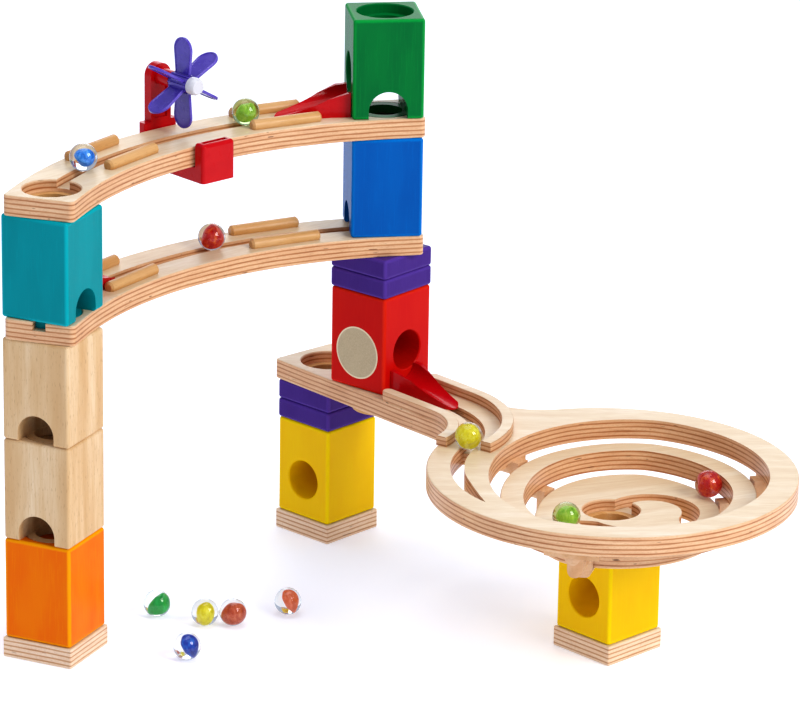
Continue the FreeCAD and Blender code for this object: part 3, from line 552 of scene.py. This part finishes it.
# node, ball, vane, its half sizes, twist in radians, bend, lean in radians, and a second vane
marbles = [
    ("marble_rail_blue", "clear", "blue", (4.0, 2.6, 3.3), 1.2, 0.4, (0.5, 0.3, 0.2)),
    ("marble_rail_green", "green", "green_pale", (3.8, 2.4, 4.4), 0.9, 0.3, (0.2, 0.5, 0.4)),
    ("marble_rail_red", "clear", "red", (4.6, 2.8, 5.0), 1.3, 0.6, (0.3, 0.2, 1.0)),
    ("marble_slot_yellow", "clear", "yellow", (4.9, 4.2, 5.2), 0.6, -0.4, (0.1, -0.3, 0.6)),
    ("marble_turn_red", "clear", "red", (4.9, 4.4, 5.3), 0.5, 1.0, (0.2, 0.1, 0.3)),
    ("marble_disc_green", "green", "green_pale", (4.2, 2.8, 4.6), 0.9, 0.4, (0.6, 0.1, 0.2)),
    ("marble_loose_1", "clear", "green", (3.6, 1.9, 5.4), 1.5, 1.5, (0.3, 0.5, 0.3),
     ("pearl", (3.2, 1.0, 4.8))),
    ("marble_loose_2", "clear", "yellow", (3.5, 2.6, 5.3), 0.5, 0.3, (0.2, 0.0, 0.1)),
    ("marble_loose_3", "clear", "red_brown", (4.6, 2.8, 5.2), 0.6, 0.8, (0.2, 0.6, 0.2)),
    ("marble_loose_4", "clear", "red_orange", (3.2, 1.8, 5.3), 1.2, 1.5, (0.1, -0.5, 0.2),
     ("pearl", (3.2, 0.9, 4.6))),
    ("marble_loose_5", "clear", "blue_deep", (3.5, 2.1, 5.3), 1.2, 1.5, (0.2, -0.5, 0.2),
     ("pearl", (3.0, 0.9, 4.6)))]
for row in marbles:
    glass_marble(*row)


# ------------------------------------------------------------------ floor, light, camera
FLOOR_HALF = 8.0           # in metres
bm = bmesh.new()
bmesh.ops.create_grid(bm, x_segments=2, y_segments=2, size=FLOOR_HALF)
mesh = bpy.data.meshes.new("floor")
bm.to_mesh(mesh)
bm.free()
floor = bpy.data.objects.new("floor", mesh)
bpy.context.scene.collection.objects.link(floor)
# matt white seamless paper: near white, with a faint tooth
floor_mat, t, s = new_material("matt_white_paper", roughness=0.85, specular=0.1)
tooth = streaks(t, local_vector(t), (3, 3, 3), 2.0, 0.5)
paper = add(t, MIX, {0: tooth, 6: colour("F6F8FC"), 7: colour("FAFBFE")}, 2, **RGBA)
s.inputs["Emission Color"].default_value = colour("ECF2FF")
s.inputs["Emission Strength"].default_value = 0.26
surface(t, s, paper, tooth, depth_mm=0.02, strength=0.2)
mesh.materials.append(floor_mat)

world = bpy.data.worlds.new("studio")
bpy.context.scene.world = world
world.use_nodes = True
# a cool, even sky lights the piece, and the studio wall behind it is seen as plain white
w = world.node_tree
seen = add(w, "ShaderNodeLightPath", {}, "Is Camera Ray")
tone = add(w, MIX, {0: seen, 6: colour("DCE6FF"), 7: colour("FFFFFF")}, 2, **RGBA)
sky_power = 0.46
wall_power = 1.0
power = add(w, RANGE, {0: seen, 1: 0.0, 2: 1.0, 3: sky_power, 4: wall_power})
w.links.new(tone, w.nodes["Background"].inputs["Color"])
w.links.new(power, w.nodes["Background"].inputs["Strength"])

# square soft boxes: place and side in metres, power in watts
aim = Vector((0.19, 0.06, 0.14))
lamps = [
    ("key", (1.9, -1.2, 1.5), 1.1, 36.0, "FFFCF8"),
    ("top", (0.0, 0.3, 2.2), 1.6, 15.0, "FFFFFF"),
    ("left", (-1.9, -0.9, 0.9), 1.2, 3.0, "F2F6FF"),
    ("back", (0.2, 3.1, 1.25), 2.0, 18.0, "FFFFFF")]
for name, at, size, watts, hex6 in lamps:
    data = bpy.data.lights.new(name, "AREA")
    data.shape = "SQUARE"
    data.size = size
    data.energy = watts
    data.color = colour(hex6)[:3]
    lamp = bpy.data.objects.new(name, data)
    lamp.location = at
    lamp.rotation_euler = (aim - Vector(at)).to_track_quat("-Z", "Y").to_euler()
    bpy.context.scene.collection.objects.link(lamp)

# the camera looks along +Y, tipped down and rolled a little, in radians, from a place in metres
eye = (0.194182, -2.492861, 1.039746)
pitch = 0.332237538
roll = 0.016233548
level_up = Vector((0, math.sin(pitch), math.cos(pitch)))
forward = Vector((0, math.cos(pitch), -math.sin(pitch)))
right = Vector((1, 0, 0)) * math.cos(roll) + level_up * math.sin(roll)
cam_up = Vector((1, 0, 0)) * -math.sin(roll) + level_up * math.cos(roll)
cam_data = bpy.data.cameras.new("camera")
cam_data.lens = 212.012
cam_data.sensor_width = 36.0
cam_data.sensor_fit = "HORIZONTAL"
cam_data.clip_start = 0.1
cam_data.clip_end = 50.0
camera = bpy.data.objects.new("camera", cam_data)
axes = Matrix((right, cam_up, -forward)).transposed().to_4x4()
camera.matrix_world = Matrix.Translation(eye) @ axes
bpy.context.scene.collection.objects.link(camera)
bpy.context.scene.camera = camera
bpy.context.scene.view_settings.view_transform = "Standard"
bpy.context.scene.view_settings.look = "Medium High Contrast"

bpy.context.view_layer.update()
